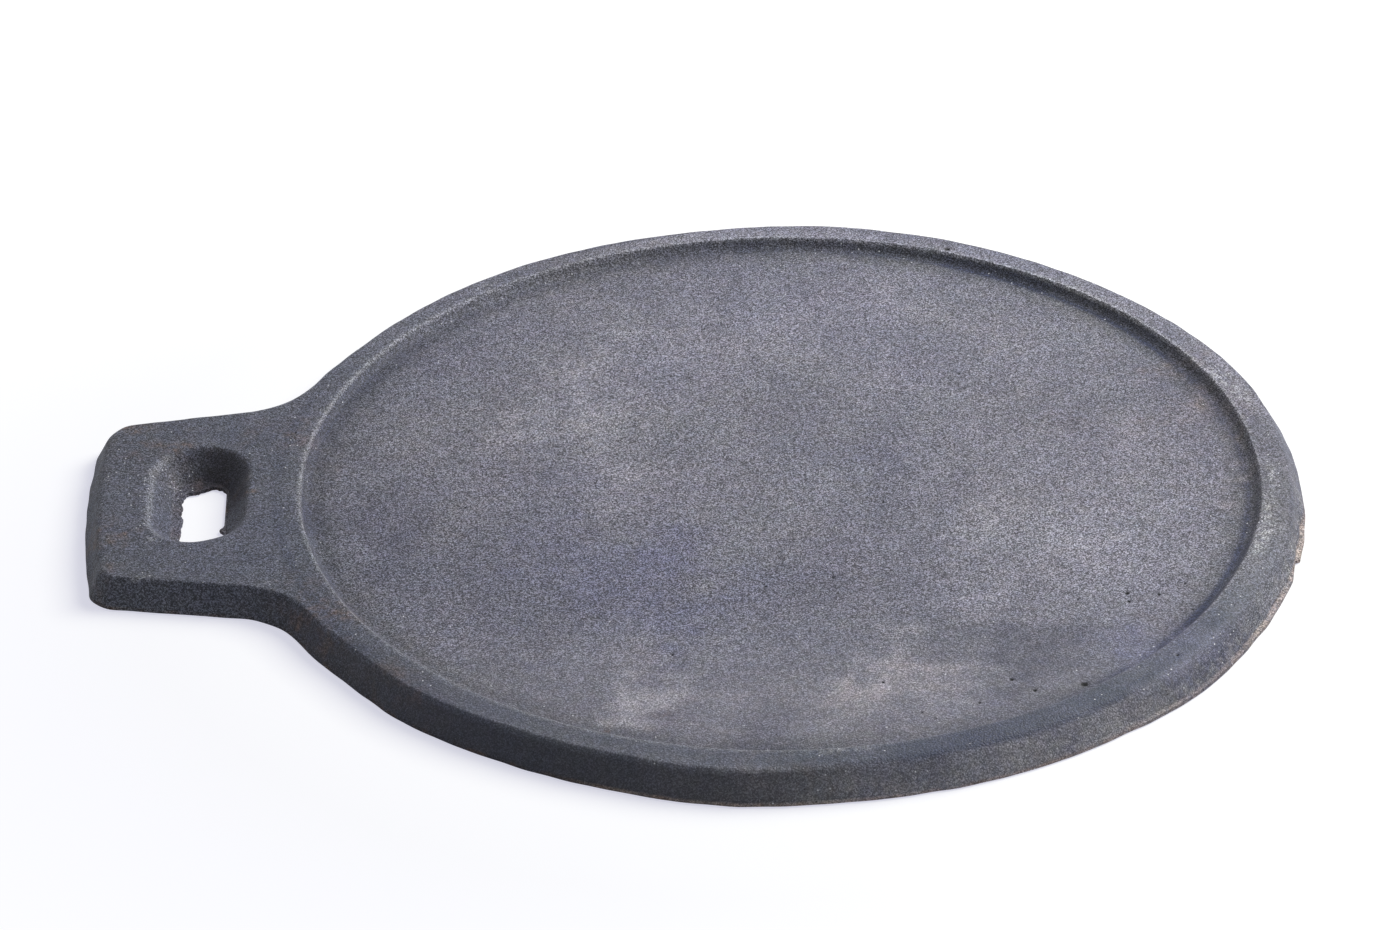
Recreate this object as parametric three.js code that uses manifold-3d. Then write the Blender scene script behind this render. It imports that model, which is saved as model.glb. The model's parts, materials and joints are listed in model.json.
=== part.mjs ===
// Cast-iron tawa: a flat griddle disc with a low rim and a tab handle, poured as one sand casting.
// Millimetres, +Z up. The origin is the disc's centre on its underside, and the tab points to -X.
// The pattern is drawn with its widest outline at the underside, where the mould parts. From there
// the sides slope in to the rim's top, whose corner was dressed by hand after casting: it is left
// crisp on the side of the disc that follows the tab, and rubbed round on the far side from it.

import * as THREE from 'three';
import { mergeVertices } from 'three/addons/utils/BufferGeometryUtils.js';
import Module from 'manifold-3d';

// Disc
const FOOT_RADIUS = 127;
const FLOOR_THICKNESS = 4.9;
const RIM_RISE = 2.5;
const RIM_BASE_WIDTH = 10;
const PARTING_LAND = 0.8;
const SIDE_SLOPE = THREE.MathUtils.degToRad(30);

// Recess inside the rim
const RECESS_WALL_ANGLE = THREE.MathUtils.degToRad(50);
const RECESS_FILLET = 2.2;
const RECESS_LIP_ROUND = 0.4;

// Rim corner, from the crisp stretch to the one that was rubbed round
const CRISP_CORNER = 0.9;
const ROUNDED_CORNER = 4;
const ROUNDED_CORNER_AT = THREE.MathUtils.degToRad(-50);
const ROUNDED_CORNER_SPREAD = THREE.MathUtils.degToRad(45);

// Tab: half-widths are at the underside, and the pattern's two sides aren't quite alike
const TAB_LENGTH = 42.4;
const TAB_SIDE_SPAN = 28;
const TAB_TIP_TO_SIDE = 9.3;
const TAB_FAR = { side: 1, tip: 38.3, root: 41.0, corner: 11 };
const TAB_NEAR = { side: -1, tip: 37.0, root: 42.2, corner: 8.5 };
const TAB_TIP_BOW = 250;
const TAB_TIP_OFF_AXIS = 9;
const TAB_ROOT_FILLET = 20;
const TAB_TIP_CORNER = 2.6;
const TAB_NEAR_SLOPE = THREE.MathUtils.degToRad(25);

// Slot through the tab: a funnel that opens upwards, over a thin web of flash with a ragged hole
const SLOT_TO_TIP = 27.9;
const SLOT_OFF_AXIS = 0.7;
const SLOT_MOUTH = { halfWidth: 12, halfLength: 21.2, corner: 9 };
const SLOT_WALL_SLOPE = THREE.MathUtils.degToRad(40);
const SLOT_LIP_ROUND = 2.5;
const FLASH_THICKNESS = 0.9;
const FLASH_HOLE = { halfWidth: 5.8, halfLength: 13.4, corner: 4.5 };
const FLASH_HOLE_SHIFT = 0.8;

// Flash that squeezed out along the parting line and was left on the foot as a fin, and the stretch
// where it broke off short
const FIN_TAPER = 0.3;
const NICK_AT = THREE.MathUtils.degToRad(-19.4);
const NICK_DEPTH = 1.1;
const NICK_LENGTH = 10;

// Hand-cut and ragged edges wander from their nominal line. Each lump has its place and its width
// in degrees round the disc or the slot, and how far it stands out.
const OUTLINE_LUMPS = [
  { at: 14, width: 18, rise: 1.5 },
  { at: 342, width: 12, rise: 0.5 },
  { at: 62, width: 10, rise: 0.6 },
  { at: 79, width: 10, rise: 1.1 },
  { at: 98, width: 7, rise: -0.3 },
  { at: 157, width: 7, rise: 1.6 },
  { at: 204, width: 9, rise: 1.8 },
  { at: 224, width: 7, rise: 0.9 },
  { at: 260, width: 8, rise: 1.0 },
  { at: 296, width: 10, rise: 0.2 },
  { at: 313, width: 8, rise: 1.1 },
];
const FIN_LUMPS = [
  { at: 344, width: 5, rise: 1.1 },
  { at: 330, width: 9, rise: 0.8 },
  { at: 310, width: 13, rise: 0.4 },
];
const FLASH_LUMPS = [
  { at: 101, width: 10, rise: -2.2 },
  { at: 115, width: 12, rise: -1.0 },
  { at: 88, width: 8, rise: -0.7 },
  { at: 70, width: 9, rise: -0.4 },
  { at: 150, width: 16, rise: -0.45 },
  { at: 196, width: 20, rise: -0.85 },
  { at: 228, width: 10, rise: -0.5 },
  { at: 15, width: 22, rise: 0.25 },
  { at: 45, width: 7, rise: 0.35 },
  { at: 292, width: 8, rise: 0.5 },
  { at: 312, width: 7, rise: -1.5 },
];

// Facet sizes
const DISC_STEP = 4.2;
const SMALL_ARC_STEP = THREE.MathUtils.degToRad(11);
const RAGGED_STEP = 1.1;
const LIP_STEPS = 5;
const RECESS_SEGMENTS = 150;
const CUT_MARGIN = 2;

const CASTING_HEIGHT = FLOOR_THICKNESS + RIM_RISE;
const RIM_INNER_RADIUS = FOOT_RADIUS - RIM_BASE_WIDTH;
const TAB_TIP_X = -FOOT_RADIUS - TAB_LENGTH;
const DISC_CENTRE = new THREE.Vector2(0, 0);
const SLOT_CENTRE = new THREE.Vector2(TAB_TIP_X + SLOT_TO_TIP, SLOT_OFF_AXIS);

const wasm = await Module();
wasm.setup();

// Points on an arc, each with the normal that faces out of the casting.
function arcRun(centre, radius, from, to, step, outward = 1) {
  const count = Math.max(2, Math.ceil(Math.abs(to - from) / step));
  return Array.from({ length: count }, (_, i) => {
    const angle = from + ((to - from) * (i + 0.5)) / count;
    const ray = new THREE.Vector2(Math.cos(angle), Math.sin(angle));
    return { point: ray.clone().multiplyScalar(radius).add(centre), normal: ray.multiplyScalar(outward) };
  });
}

function lineRun(start, end, normal, step) {
  const count = Math.max(2, Math.ceil(start.distanceTo(end) / step));
  return Array.from({ length: count }, (_, i) => ({
    point: start.clone().lerp(end, (i + 0.5) / count),
    normal: normal.clone(),
  }));
}

// Where along a line a circle's centre lies, if it has to stand a given distance from a fixed point.
function slideToDistance(origin, direction, fixed, distance, pick) {
  const offset = origin.clone().sub(fixed);
  const half = offset.dot(direction);
  const root = Math.sqrt(half * half - offset.lengthSq() + distance * distance);
  return origin.clone().addScaledVector(direction, -half + pick * root);
}

// One long side of the tab: its corner at the tip, its straight side and its fillet into the disc.
function tabSide({ side, tip, root, corner }) {
  const sideTip = new THREE.Vector2(TAB_TIP_X + TAB_TIP_TO_SIDE, side * tip);
  const sideRoot = new THREE.Vector2(sideTip.x + TAB_SIDE_SPAN, side * root);
  const along = sideRoot.clone().sub(sideTip).normalize();
  const normal = new THREE.Vector2(-along.y * side, along.x * side);
  const bowCentre = new THREE.Vector2(TAB_TIP_X + TAB_TIP_BOW, TAB_TIP_OFF_AXIS);

  const cornerTrack = sideTip.clone().addScaledVector(normal, -corner);
  const cornerCentre = slideToDistance(cornerTrack, along, bowCentre, TAB_TIP_BOW - corner, -1);
  const filletTrack = sideTip.clone().addScaledVector(normal, TAB_ROOT_FILLET);
  const filletCentre = slideToDistance(filletTrack, along, DISC_CENTRE, FOOT_RADIUS + TAB_ROOT_FILLET, -1);

  const tipAngle = cornerCentre.clone().sub(bowCentre).angle();
  const sideAngle = normal.angle();
  const discAngle = filletCentre.angle();
  const filletStart = normal.clone().negate().angle();
  const filletEnd = filletCentre.clone().negate().angle();
  return {
    tipAngle,
    discAngle,
    corner: arcRun(cornerCentre, corner, tipAngle, nearestTurn(sideAngle, tipAngle), SMALL_ARC_STEP),
    straight: lineRun(
      cornerCentre.clone().addScaledVector(normal, corner),
      filletCentre.clone().addScaledVector(normal, -TAB_ROOT_FILLET),
      normal,
      DISC_STEP * 2,
    ),
    fillet: arcRun(
      filletCentre, TAB_ROOT_FILLET, filletStart, nearestTurn(filletEnd, filletStart), SMALL_ARC_STEP, -1,
    ),
    bowCentre,
  };
}

// The same angle, less than half a turn from another one.
function nearestTurn(angle, other) {
  const turn = Math.PI * 2;
  return angle - turn * Math.round((angle - other) / turn);
}

// How far an edge stands out from its nominal line at an angle.
function wander(lumps, angle) {
  return lumps.reduce((sum, { at, width, rise }) => {
    const centre = THREE.MathUtils.degToRad(at);
    const away = nearestTurn(angle, centre) - centre;
    return sum + rise * Math.exp(-((away / THREE.MathUtils.degToRad(width)) ** 2));
  }, 0);
}

// The foot's outline, anticlockwise from the disc's right side.
function footOutline() {
  const far = tabSide(TAB_FAR);
  const near = tabSide(TAB_NEAR);
  const nearAngle = nearestTurn(near.discAngle, Math.PI);
  const farAngle = nearestTurn(far.discAngle, Math.PI);
  const discStep = DISC_STEP / FOOT_RADIUS;
  const run = [
    ...arcRun(DISC_CENTRE, FOOT_RADIUS, nearAngle - Math.PI * 2, farAngle, discStep),
    ...far.fillet.reverse(),
    ...far.straight.reverse(),
    ...far.corner.reverse(),
    ...arcRun(far.bowCentre, TAB_TIP_BOW, far.tipAngle, nearestTurn(near.tipAngle, far.tipAngle), discStep),
    ...near.corner,
    ...near.straight,
    ...near.fillet,
  ];
  for (const { point, normal } of run) {
    point.addScaledVector(normal, wander(OUTLINE_LUMPS, point.angle()));
  }
  return run;
}

// How far a point of the outline lies along the tab, from nothing on the disc to 1 near the tip.
function tipShare(point) {
  return THREE.MathUtils.smoothstep(-point.x, -TAB_TIP_X - TAB_TIP_TO_SIDE, -TAB_TIP_X);
}

// The rim's corner radius at a point of the outline.
function cornerRound(point) {
  const away = nearestTurn(point.angle(), ROUNDED_CORNER_AT) - ROUNDED_CORNER_AT;
  const share = Math.exp(-((away / ROUNDED_CORNER_SPREAD) ** 4));
  const onDisc = CRISP_CORNER + (ROUNDED_CORNER - CRISP_CORNER) * share;
  return THREE.MathUtils.lerp(onDisc, TAB_TIP_CORNER, tipShare(point));
}

// The side's slope from upright at a point of the outline: less along the tab's near side.
function sideSlope(point) {
  const alongTab = THREE.MathUtils.smoothstep(-point.x, FOOT_RADIUS - TAB_ROOT_FILLET, FOOT_RADIUS);
  const nearSide = THREE.MathUtils.smoothstep(-point.y, 0, TAB_NEAR.tip);
  return THREE.MathUtils.lerp(SIDE_SLOPE, TAB_NEAR_SLOPE, alongTab * nearSide);
}

// The side's section at a point of the outline: how far it has come in from the foot, and its height.
function sideSection(point) {
  const round = cornerRound(point);
  const slope = sideSlope(point);
  const fin = wander(FIN_LUMPS, point.angle());
  const sharpInset = (CASTING_HEIGHT - PARTING_LAND) * Math.tan(slope);
  const centreInset = sharpInset + round * Math.tan((Math.PI / 2 - slope) / 2);
  const section = [[0, 0], [0, PARTING_LAND], [fin + FIN_TAPER * Math.tan(slope), PARTING_LAND + FIN_TAPER]];
  for (let i = 0; i <= LIP_STEPS; i++) {
    const tilt = THREE.MathUtils.lerp(slope, Math.PI / 2, i / LIP_STEPS);
    section.push([centreInset - round * Math.cos(tilt), CASTING_HEIGHT - round * (1 - Math.sin(tilt))]);
  }
  return section;
}

// A closed body through rings of points that run anticlockwise, the lowest ring first.
function loft(rings) {
  const size = rings[0].length;
  const positions = rings.flat().flatMap((p) => [p.x, p.y, p.z]);
  const faces = [];
  for (let level = 0; level + 1 < rings.length; level++) {
    for (let i = 0; i < size; i++) {
      const a = level * size + i;
      const b = level * size + ((i + 1) % size);
      faces.push(a, b, b + size, a, b + size, a + size);
    }
  }
  const last = (rings.length - 1) * size;
  const flat = (ring) => ring.map((p) => new THREE.Vector2(p.x, p.y));
  for (const [a, b, c] of THREE.ShapeUtils.triangulateShape(flat(rings[0]), [])) faces.push(a, c, b);
  for (const [a, b, c] of THREE.ShapeUtils.triangulateShape(flat(rings.at(-1)), [])) {
    faces.push(last + a, last + b, last + c);
  }
  const geometry = new THREE.BufferGeometry();
  geometry.setAttribute('position', new THREE.Float32BufferAttribute(positions, 3));
  geometry.setIndex(faces);
  return geometry;
}

function solid(geometry) {
  const bare = geometry.index ? geometry.toNonIndexed() : geometry.clone();
  for (const name of Object.keys(bare.attributes)) if (name !== 'position') bare.deleteAttribute(name);
  const merged = mergeVertices(bare, 1e-4);
  return new wasm.Manifold(
    new wasm.Mesh({
      numProp: 3,
      vertProperties: merged.attributes.position.array,
      triVerts: new Uint32Array(merged.index.array),
    }),
  );
}

// Disc and tab without the recess and the slot.
function blank() {
  const outline = footOutline();
  const sections = outline.map(({ point }) => sideSection(point));
  const rings = sections[0].map((_, level) =>
    outline.map(({ point, normal }, i) => {
      const [inset, height] = sections[i][level];
      return new THREE.Vector3(point.x - normal.x * inset, point.y - normal.y * inset, height);
    }),
  );
  return loft(rings);
}

// The space over the cooking surface: flat floor, fillet, sloping wall, and the rim's rounded lip.
function recess() {
  const wall = RECESS_WALL_ANGLE;
  const lipReach = RECESS_LIP_ROUND * Math.tan(wall / 2);
  const filletReach = RECESS_FILLET * Math.tan(wall / 2);
  const floorCorner = RIM_INNER_RADIUS - RIM_RISE / Math.tan(wall);
  const profile = [new THREE.Vector2(0, FLOOR_THICKNESS)];
  for (let i = 0; i <= LIP_STEPS; i++) {
    const turn = (wall * i) / LIP_STEPS;
    profile.push(
      new THREE.Vector2(
        floorCorner - filletReach + RECESS_FILLET * Math.sin(turn),
        FLOOR_THICKNESS + RECESS_FILLET * (1 - Math.cos(turn)),
      ),
    );
  }
  for (let i = 0; i < LIP_STEPS; i++) {
    const turn = wall * (1 - i / LIP_STEPS);
    profile.push(
      new THREE.Vector2(
        RIM_INNER_RADIUS + lipReach - RECESS_LIP_ROUND * Math.sin(turn),
        CASTING_HEIGHT - RECESS_LIP_ROUND * (1 - Math.cos(turn)),
      ),
    );
  }
  profile.push(new THREE.Vector2(RIM_INNER_RADIUS + lipReach, CASTING_HEIGHT + CUT_MARGIN));
  profile.push(new THREE.Vector2(0, CASTING_HEIGHT + CUT_MARGIN));
  return new THREE.LatheGeometry(profile, RECESS_SEGMENTS).rotateX(Math.PI / 2);
}

// A rectangle with round corners, anticlockwise, with finer points where it has to look ragged.
function roundedRectangle({ halfWidth, halfLength, corner }, centre, sideStep) {
  const reach = new THREE.Vector2(halfWidth - corner, halfLength - corner);
  const quarters = [[1, 1], [-1, 1], [-1, -1], [1, -1]];
  return quarters.flatMap(([x, y], i) => {
    const from = (i * Math.PI) / 2;
    const to = from + Math.PI / 2;
    const pivot = new THREE.Vector2(x * reach.x, y * reach.y).add(centre);
    const [nextX, nextY] = quarters[(i + 1) % quarters.length];
    const nextPivot = new THREE.Vector2(nextX * reach.x, nextY * reach.y).add(centre);
    const normal = new THREE.Vector2(Math.cos(to), Math.sin(to));
    const start = pivot.clone().addScaledVector(normal, corner);
    const end = nextPivot.addScaledVector(normal, corner);
    return [
      ...arcRun(pivot, corner, from, to, SMALL_ARC_STEP),
      ...lineRun(start, end, normal, sideStep),
    ];
  });
}

// The funnel above the web of flash, with a rounded lip.
function funnel() {
  const turn = Math.PI / 2 - SLOT_WALL_SLOPE;
  const lipReach = SLOT_LIP_ROUND * Math.tan(turn / 2);
  const wallInset = (CASTING_HEIGHT - FLASH_THICKNESS) * Math.tan(SLOT_WALL_SLOPE);
  const section = [[wallInset, FLASH_THICKNESS]];
  for (let i = 0; i < LIP_STEPS; i++) {
    const tilt = turn * (1 - i / LIP_STEPS);
    section.push([
      SLOT_LIP_ROUND * Math.sin(tilt) - lipReach,
      CASTING_HEIGHT - SLOT_LIP_ROUND * (1 - Math.cos(tilt)),
    ]);
  }
  section.push([-lipReach, CASTING_HEIGHT + CUT_MARGIN]);
  const mouth = roundedRectangle(SLOT_MOUTH, SLOT_CENTRE, SLOT_MOUTH.halfLength);
  return loft(
    section.map(([inset, height]) =>
      mouth.map(({ point, normal }) =>
        new THREE.Vector3(point.x - normal.x * inset, point.y - normal.y * inset, height)),
    ),
  );
}

// The ragged hole that the metal left in the web of flash.
function raggedHole() {
  const centre = new THREE.Vector2(SLOT_CENTRE.x + FLASH_HOLE_SHIFT, SLOT_CENTRE.y);
  const edge = roundedRectangle(FLASH_HOLE, centre, RAGGED_STEP);
  for (const { point, normal } of edge) {
    point.addScaledVector(normal, wander(FLASH_LUMPS, point.clone().sub(centre).angle()));
  }
  const levels = [-CUT_MARGIN, FLASH_THICKNESS + CUT_MARGIN];
  return loft(levels.map((height) => edge.map(({ point }) => new THREE.Vector3(point.x, point.y, height))));
}

// What broke off the fin: deepest at one end, where it snapped, and running out along the foot.
function nick() {
  const height = PARTING_LAND + FIN_TAPER + CUT_MARGIN;
  const block = new THREE.BoxGeometry(NICK_LENGTH, NICK_LENGTH * 2, height);
  block.translate(NICK_LENGTH / 2, -NICK_LENGTH, height / 2 - CUT_MARGIN);
  block.rotateZ(Math.asin(NICK_DEPTH / NICK_LENGTH));
  const footReach = FOOT_RADIUS + wander(OUTLINE_LUMPS, NICK_AT);
  return block.translate(footReach - NICK_DEPTH, 0, 0).rotateZ(NICK_AT);
}

function castingGeometry() {
  const body = [recess(), funnel(), raggedHole(), nick()].reduce(
    (left, cut) => left.subtract(solid(cut)),
    solid(blank()),
  );
  const { vertProperties, triVerts } = body.getMesh();
  const geometry = new THREE.BufferGeometry();
  geometry.setAttribute('position', new THREE.BufferAttribute(vertProperties, 3));
  geometry.setIndex(new THREE.BufferAttribute(triVerts, 1));
  geometry.computeVertexNormals();
  return geometry;
}

const castIron = new THREE.MeshStandardMaterial({ color: 0x64656c, roughness: 0.7, metalness: 0.35 });

const casting = new THREE.Mesh(castingGeometry(), castIron);
casting.name = 'tawa_casting';

const tawa = new THREE.Group();
tawa.name = 'tawa';
tawa.add(casting);

export default tawa;
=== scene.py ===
import json
import math

import bpy
import numpy as np
from mathutils import Matrix, Vector
from mathutils.geometry import delaunay_2d_cdt
from mathutils.kdtree import KDTree


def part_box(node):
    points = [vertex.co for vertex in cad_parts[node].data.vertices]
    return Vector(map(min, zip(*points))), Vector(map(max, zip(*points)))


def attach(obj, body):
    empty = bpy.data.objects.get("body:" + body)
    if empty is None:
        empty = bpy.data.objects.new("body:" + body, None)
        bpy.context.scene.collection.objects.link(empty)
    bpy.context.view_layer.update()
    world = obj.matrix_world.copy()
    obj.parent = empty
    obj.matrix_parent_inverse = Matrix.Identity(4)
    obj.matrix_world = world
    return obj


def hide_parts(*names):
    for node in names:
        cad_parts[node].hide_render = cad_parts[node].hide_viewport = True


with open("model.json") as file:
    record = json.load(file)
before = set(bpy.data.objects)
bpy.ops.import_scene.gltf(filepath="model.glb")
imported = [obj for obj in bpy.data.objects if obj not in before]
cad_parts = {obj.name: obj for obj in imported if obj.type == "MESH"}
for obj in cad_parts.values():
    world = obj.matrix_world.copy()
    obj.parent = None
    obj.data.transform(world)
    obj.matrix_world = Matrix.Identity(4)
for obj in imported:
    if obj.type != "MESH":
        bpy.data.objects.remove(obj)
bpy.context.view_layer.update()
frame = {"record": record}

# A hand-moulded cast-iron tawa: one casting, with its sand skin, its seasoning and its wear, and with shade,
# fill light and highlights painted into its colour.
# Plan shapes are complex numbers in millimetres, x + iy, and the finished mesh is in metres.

MM = 0.001
CASTING = "tawa_casting"
casting_low, casting_high = (np.array(corner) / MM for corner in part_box(CASTING))
mounts = {mount["name"]: mount for mount in frame["record"]["mounts"]}

# Disc, with its rim and its recess
RIM_HEIGHT = casting_high[2]
FLOOR_HEIGHT = mounts["cooking_surface"]["pos_m"][2] / MM
FOOT_RADIUS = 127.0
RIM_BASE_WIDTH = 10.0
RIM_INNER_RADIUS = FOOT_RADIUS - RIM_BASE_WIDTH
PARTING_LAND = 0.8
PARTING_DRAFT = 0.1
SIDE_SLOPE = math.radians(30)
RECESS_WALL_ANGLE = math.radians(50)
RECESS_FILLET = 2.2
RECESS_LIP_ROUND = 0.4
CRISP_CORNER = 0.9
ROUNDED_CORNER = 4.0
ROUNDED_CORNER_AT = math.radians(-50)
ROUNDED_CORNER_SPREAD = math.radians(45)

RIM_CROWN = 0.15
RIM_CROWN_LIFT = 0.08
RIM_CROWN_REACH = 5.5
RIM_CROWN_FROM = RIM_INNER_RADIUS + 0.5

# Tab
TAB_TIP_X = casting_low[0]
TAB_TIP_TO_SIDE = 9.3
TAB_SIDE_SPAN = 28.0
TAB_FAR = {"side": 1, "tip": 38.3, "root": 41.0, "corner": 11.0}
TAB_NEAR = {"side": -1, "tip": 37.0, "root": 42.2, "corner": 8.5}
TAB_TIP_BOW = 250.0
TAB_TIP_OFF_AXIS = 9.0
TAB_ROOT_FILLET = 20.0
TAB_TIP_CORNER = 2.6
TAB_NEAR_SLOPE = math.radians(25)
TAB_REACH_ROOT = 118.0

# Slot
SLOT_CENTRE = complex(TAB_TIP_X + 27.9, 0.7)
SLOT_MOUTH = {"half_width": 12.0, "half_length": 21.2, "corner": 11.8}
SLOT_WALL_SLOPE = math.radians(40)
SLOT_LIP_ROUND = 2.5
FLASH_THICKNESS = 0.9
FLASH_HOLE = {"half_width": 5.8, "half_length": 13.4, "corner": 4.5}
FLASH_HOLE_SHIFT = 0.8
FLASH_LEDGE = 0.45
# How far the torn edge draws back at its top, middle and foot, and how high up the flash each is
TORN_EDGE = [(0.12, 1.0), (-0.10, 0.55), (0.06, 0.0)]

# Flash left on the foot as a fin along the parting line, and the stretch where it broke off short
FIN_TAPER = 0.3
NICK_AT = math.radians(-19.4)
NICK_DEPTH = 1.1
NICK_LENGTH = 10.0

# Where hand-cut and torn edges stand out: angle and width in degrees, then the rise
OUTLINE_LUMPS = [
    (14, 18, 1.5), (342, 12, 0.9), (325, 7, 0.35), (62, 10, 0.6), (79, 10, 1.1), (98, 7, -0.3), (157, 7, 1.6),
    (204, 9, 1.8), (224, 7, 0.9), (260, 8, 1.0), (292, 12, 0.4), (313, 8, 1.2),
]
FIN_LUMPS = [(344, 5, 1.1), (330, 9, 0.8), (310, 13, 0.4)]
FLASH_LUMPS = [
    (101, 10, -2.2), (115, 12, -1.0), (88, 8, -0.7), (70, 9, -0.4), (150, 16, -0.45), (196, 20, -0.85),
    (228, 10, -0.5), (15, 22, 0.25), (45, 7, 0.35), (292, 8, 0.5), (312, 7, -1.5),
]

# How far the hand-cut edges waver, and by what share the fin and the rim's round do
FOOT_WAVER = 0.08
RECESS_WAVER = 0.14
SLOT_WAVER = 0.12
FLASH_WAVER = 0.16
FIN_WAVER = 0.12
ROUND_WAVER = 0.22

# How finely the skin is divided, and how evenly its points are scattered
EDGE_STEP = 0.95
CORNER_STEP = EDGE_STEP * 0.7
LAND_STEP = 1.05
FLOOR_STEP = 1.3
UNDERSIDE_STEP = 3.2
RAGGED_STEP = 0.45
FLASH_STEP = RAGGED_STEP * 1.6
SIDE_LEVELS = 8
ROUND_LEVELS = 8
SCATTER_JITTER = 0.13
SCATTER_MARGIN = 0.55
# Rings of points round each pit: the share of its radius, and how many
PIT_RINGS = [(0.05, 3), (0.5, 7), (0.95, 11), (1.5, 11), (2.1, 10)]

# Camera, fitted to the photograph
CAMERA_AT = Vector((-0.0629, -0.8064, 0.5126))
CAMERA_RIGHT = Vector((0.9978, -0.06424, -0.01647))
CAMERA_UP = Vector((0.04794, 0.52715, 0.84842))
CAMERA_LENS = 100.3


def unit(angle):
    """The unit vector at an angle, as a complex number."""
    return np.exp(1j * np.asarray(angle))


def nearest_turn(angle, other):
    """The same angle, less than half a turn from another one."""
    return angle - 2 * np.pi * np.round((angle - other) / (2 * np.pi))


def wander(lumps, plan):
    """How far an edge stands out from its nominal line, at points round the origin."""
    angle = np.angle(plan)
    total = np.zeros(len(plan))
    for at, width, rise in lumps:
        away = nearest_turn(angle, math.radians(at)) - math.radians(at)
        total += rise * np.exp(-(away / math.radians(width)) ** 2)
    return total


def waver(count, lobes, seed):
    """A smooth closed wobble, about -1 to 1, for each of count points round a loop."""
    rng = np.random.default_rng(seed)
    travel = 2 * np.pi * np.arange(count) / count
    waves = [np.sin(lobe * travel + rng.uniform(0, 2 * np.pi)) for lobe in lobes]
    return sum(waves) / math.sqrt(len(lobes))


def arc(centre, radius, start, end, step, outward=1):
    """Points along an arc, with the normal at each."""
    count = max(3, round(abs(end - start) * radius / step))
    ray = unit(start + (end - start) * (np.arange(count) + 0.5) / count)
    return centre + radius * ray, outward * ray


def line(start, end, normal, step):
    """Points along a straight edge, with the normal at each."""
    count = max(2, round(abs(end - start) / step))
    share = (np.arange(count) + 0.5) / count
    return start + (end - start) * share, np.full(count, normal)


def slide_to_distance(origin, direction, fixed, distance):
    """Where a circle's centre lies on a line, on its near side, at a distance from a fixed point."""
    offset = origin - fixed
    half = (offset * direction.conjugate()).real
    return origin - direction * (half + math.sqrt(half * half - abs(offset) ** 2 + distance * distance))


def tab_side(side, tip, root, corner):
    """One long side of the tab: its corner at the tip, its straight and its fillet into the disc."""
    side_tip = complex(TAB_TIP_X + TAB_TIP_TO_SIDE, side * tip)
    side_root = complex(side_tip.real + TAB_SIDE_SPAN, side * root)
    along = (side_root - side_tip) / abs(side_root - side_tip)
    normal = along * 1j * side
    bow_centre = complex(TAB_TIP_X + TAB_TIP_BOW, TAB_TIP_OFF_AXIS)
    corner_centre = slide_to_distance(side_tip - normal * corner, along, bow_centre, TAB_TIP_BOW - corner)
    fillet_centre = slide_to_distance(
        side_tip + normal * TAB_ROOT_FILLET, along, 0, FOOT_RADIUS + TAB_ROOT_FILLET
    )
    tip_angle = np.angle(corner_centre - bow_centre)
    fillet_start = np.angle(-normal)
    fillet_end = nearest_turn(np.angle(-fillet_centre), fillet_start)
    side_angle = nearest_turn(np.angle(normal), tip_angle)
    corner_end = corner_centre + normal * corner
    fillet_foot = fillet_centre - normal * TAB_ROOT_FILLET
    return {
        "bow_centre": bow_centre,
        "tip_angle": tip_angle,
        "disc_angle": nearest_turn(np.angle(fillet_centre), np.pi),
        "corner": arc(corner_centre, corner, tip_angle, side_angle, CORNER_STEP),
        "straight": line(corner_end, fillet_foot, normal, EDGE_STEP),
        "fillet": arc(fillet_centre, TAB_ROOT_FILLET, fillet_start, fillet_end, EDGE_STEP, -1),
    }


def foot_outline():
    """The foot's points, anticlockwise, and the normal at each."""
    far = tab_side(**TAB_FAR)
    near = tab_side(**TAB_NEAR)
    near_tip = nearest_turn(near["tip_angle"], far["tip_angle"])
    reverse = lambda run: tuple(part[::-1] for part in run)
    runs = [
        arc(0, FOOT_RADIUS, near["disc_angle"] - 2 * np.pi, far["disc_angle"], EDGE_STEP),
        reverse(far["fillet"]),
        reverse(far["straight"]),
        reverse(far["corner"]),
        arc(far["bow_centre"], TAB_TIP_BOW, far["tip_angle"], near_tip, EDGE_STEP),
        near["corner"],
        near["straight"],
        near["fillet"],
    ]
    points, normals = (np.concatenate(part) for part in zip(*runs))
    return points + normals * wander(OUTLINE_LUMPS, points), normals


def corner_round(plan):
    """The rim's corner radius, from the crisp stretch to the one that was rubbed round by hand."""
    away = nearest_turn(np.angle(plan), ROUNDED_CORNER_AT) - ROUNDED_CORNER_AT
    share = np.exp(-(away / ROUNDED_CORNER_SPREAD) ** 4)
    on_disc = CRISP_CORNER + (ROUNDED_CORNER - CRISP_CORNER) * share
    at_tip = smooth(-plan.real, -TAB_TIP_X - TAB_TIP_TO_SIDE, -TAB_TIP_X)
    hand = 1 + ROUND_WAVER * waver(len(plan), (5, 9, 14, 23, 31), seed=4)
    return (on_disc + (TAB_TIP_CORNER - on_disc) * at_tip) * hand


def side_slope(plan):
    """The side's slope from upright, which is less along the tab's near side."""
    along_tab = smooth(-plan.real, FOOT_RADIUS - TAB_ROOT_FILLET, FOOT_RADIUS)
    near_side = smooth(-plan.imag, 0, TAB_NEAR["tip"])
    return SIDE_SLOPE + (TAB_NEAR_SLOPE - SIDE_SLOPE) * along_tab * near_side


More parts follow.
